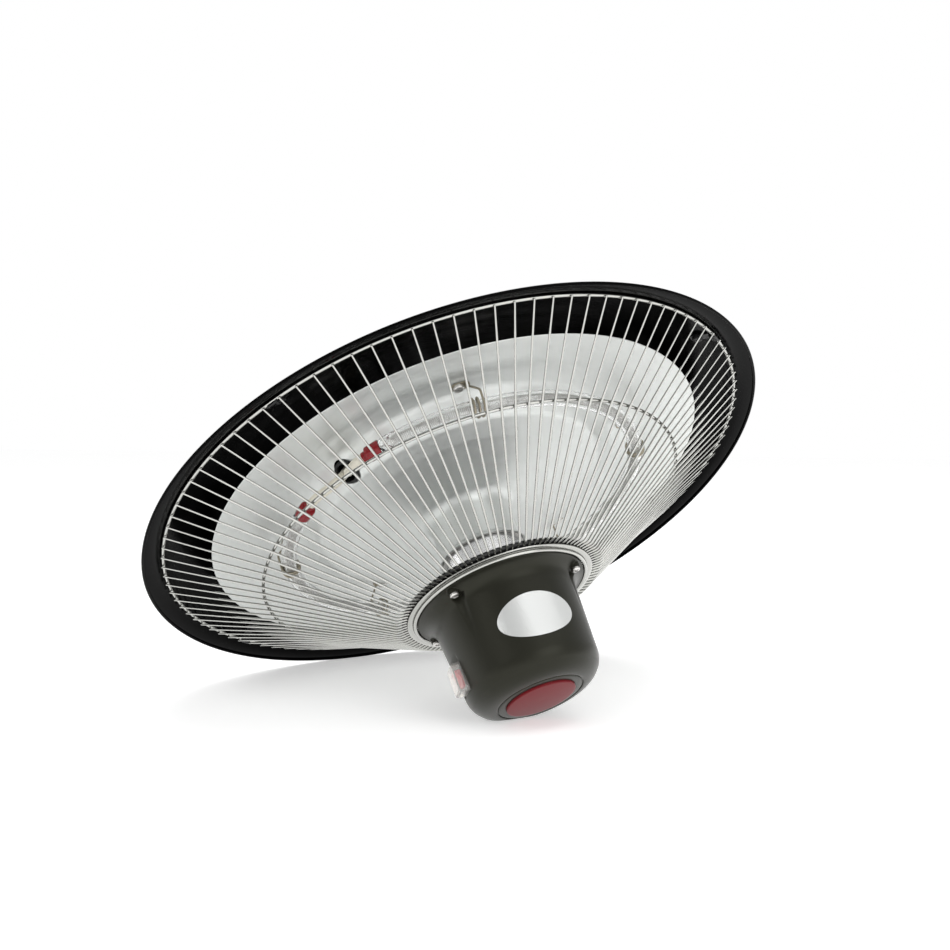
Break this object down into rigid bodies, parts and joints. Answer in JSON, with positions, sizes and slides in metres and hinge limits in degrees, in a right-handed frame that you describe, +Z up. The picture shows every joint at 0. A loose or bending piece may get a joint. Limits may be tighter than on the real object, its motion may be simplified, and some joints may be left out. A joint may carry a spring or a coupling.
{
  "type": "hanging infrared heater",
  "caption": "Round ceiling-hung infrared heater: domed shade, spun reflector, ring-shaped quartz lamp, wire guard and a control housing with a rocker switch below.",
  "frame": {"origin": "centre of the hanging eye, on the heater's axis", "axes": "+Z up along the heater's axis; the oval front plate faces -Y and the switch faces -X"},
  "size_m": [0.425, 0.425, 0.2546],
  "materials": {
    "black_enamel": "glossy black stove enamel",
    "black_plastic": "satin black moulded plastic",
    "spun_aluminium": "bright spun, faint lathe rings",
    "pale_bush": "pale glazed eyelet",
    "zinc_steel": "zinc plated",
    "spring_steel": "dull drawn spring wire",
    "brass_parts": "plain brass",
    "quartz": "clear fused quartz",
    "filament_wire": "dull grey wire",
    "red_silicone": "glossy dark red silicone",
    "cream_sleeve": "cream glass-fibre sleeve",
    "bright_wire": "bright nickel plated",
    "brushed_plate": "finely brushed upright",
    "red_window": "deep red translucent",
    "switch_black": "fine satin black",
    "rocker_red": "glossy translucent red",
    "clear_boot": "clear soft plastic",
    "board_green": "solder-masked board",
    "can_grey": "sleeved can",
    "terminal_white": "white moulded"
  },
  "bodies": {
    "heater": {"shade": "black_enamel", "reflector": "spun_aluminium", "lead_bush": "pale_bush", "support_tube": "spun_aluminium", "reflector_snap_ring": "zinc_steel", "lamp_tube": "quartz", "filament": "filament_wire", "lamp_boots": "red_silicone", "lamp_leads": "cream_sleeve", "lamp_clips": "spring_steel", "lamp_clip_screws": "zinc_steel", "lamp_clip_nuts": "zinc_steel", "guard_wires": "bright_wire", "guard_outer_ring": "bright_wire", "guard_middle_ring": "bright_wire", "guard_inner_ring": "bright_wire", "guard_clips": "black_enamel", "guard_clip_screws": "zinc_steel", "clamp_disc": "black_enamel", "housing": "black_plastic", "housing_screws": "zinc_steel", "front_plate": "brushed_plate", "receiver_window": "red_window", "switch_body": "switch_black", "switch_boot": "clear_boot", "switch_tabs": "brass_parts", "control_board": "board_green", "relay": "switch_black", "capacitor": "can_grey", "infrared_receiver": "switch_black", "board_screws": "zinc_steel", "wiring_sleeve": "cream_sleeve", "mounting_plate": "zinc_steel", "plate_rivets": "spun_aluminium", "tube_screws": "zinc_steel", "top_cap": "black_plastic", "cap_screws": "zinc_steel", "terminal_block": "terminal_white", "terminal_screws": "brass_parts", "cable_gland": "black_plastic", "gland_nut": "black_plastic", "eye_bolt": "zinc_steel", "eye_bolt_washer": "zinc_steel", "eye_bolt_nut": "zinc_steel"},
    "rocker": {"switch_rocker": "rocker_red"},
    "hanger": {"hanging_ring": "zinc_steel"}
  },
  "joints": [
    {"name": "rocker_tip", "type": "hinge", "parent": "heater", "child": "rocker", "pos_m": [-0.043, 0, -0.2185], "axis": [0, 1, 0], "range_deg": [0, 20]},
    {"name": "ring_swing", "type": "hinge", "parent": "heater", "child": "hanger", "pos_m": [0, 0, -0.00345], "axis": [-1, 0, 0], "range_deg": [0, 208]}
  ]
}
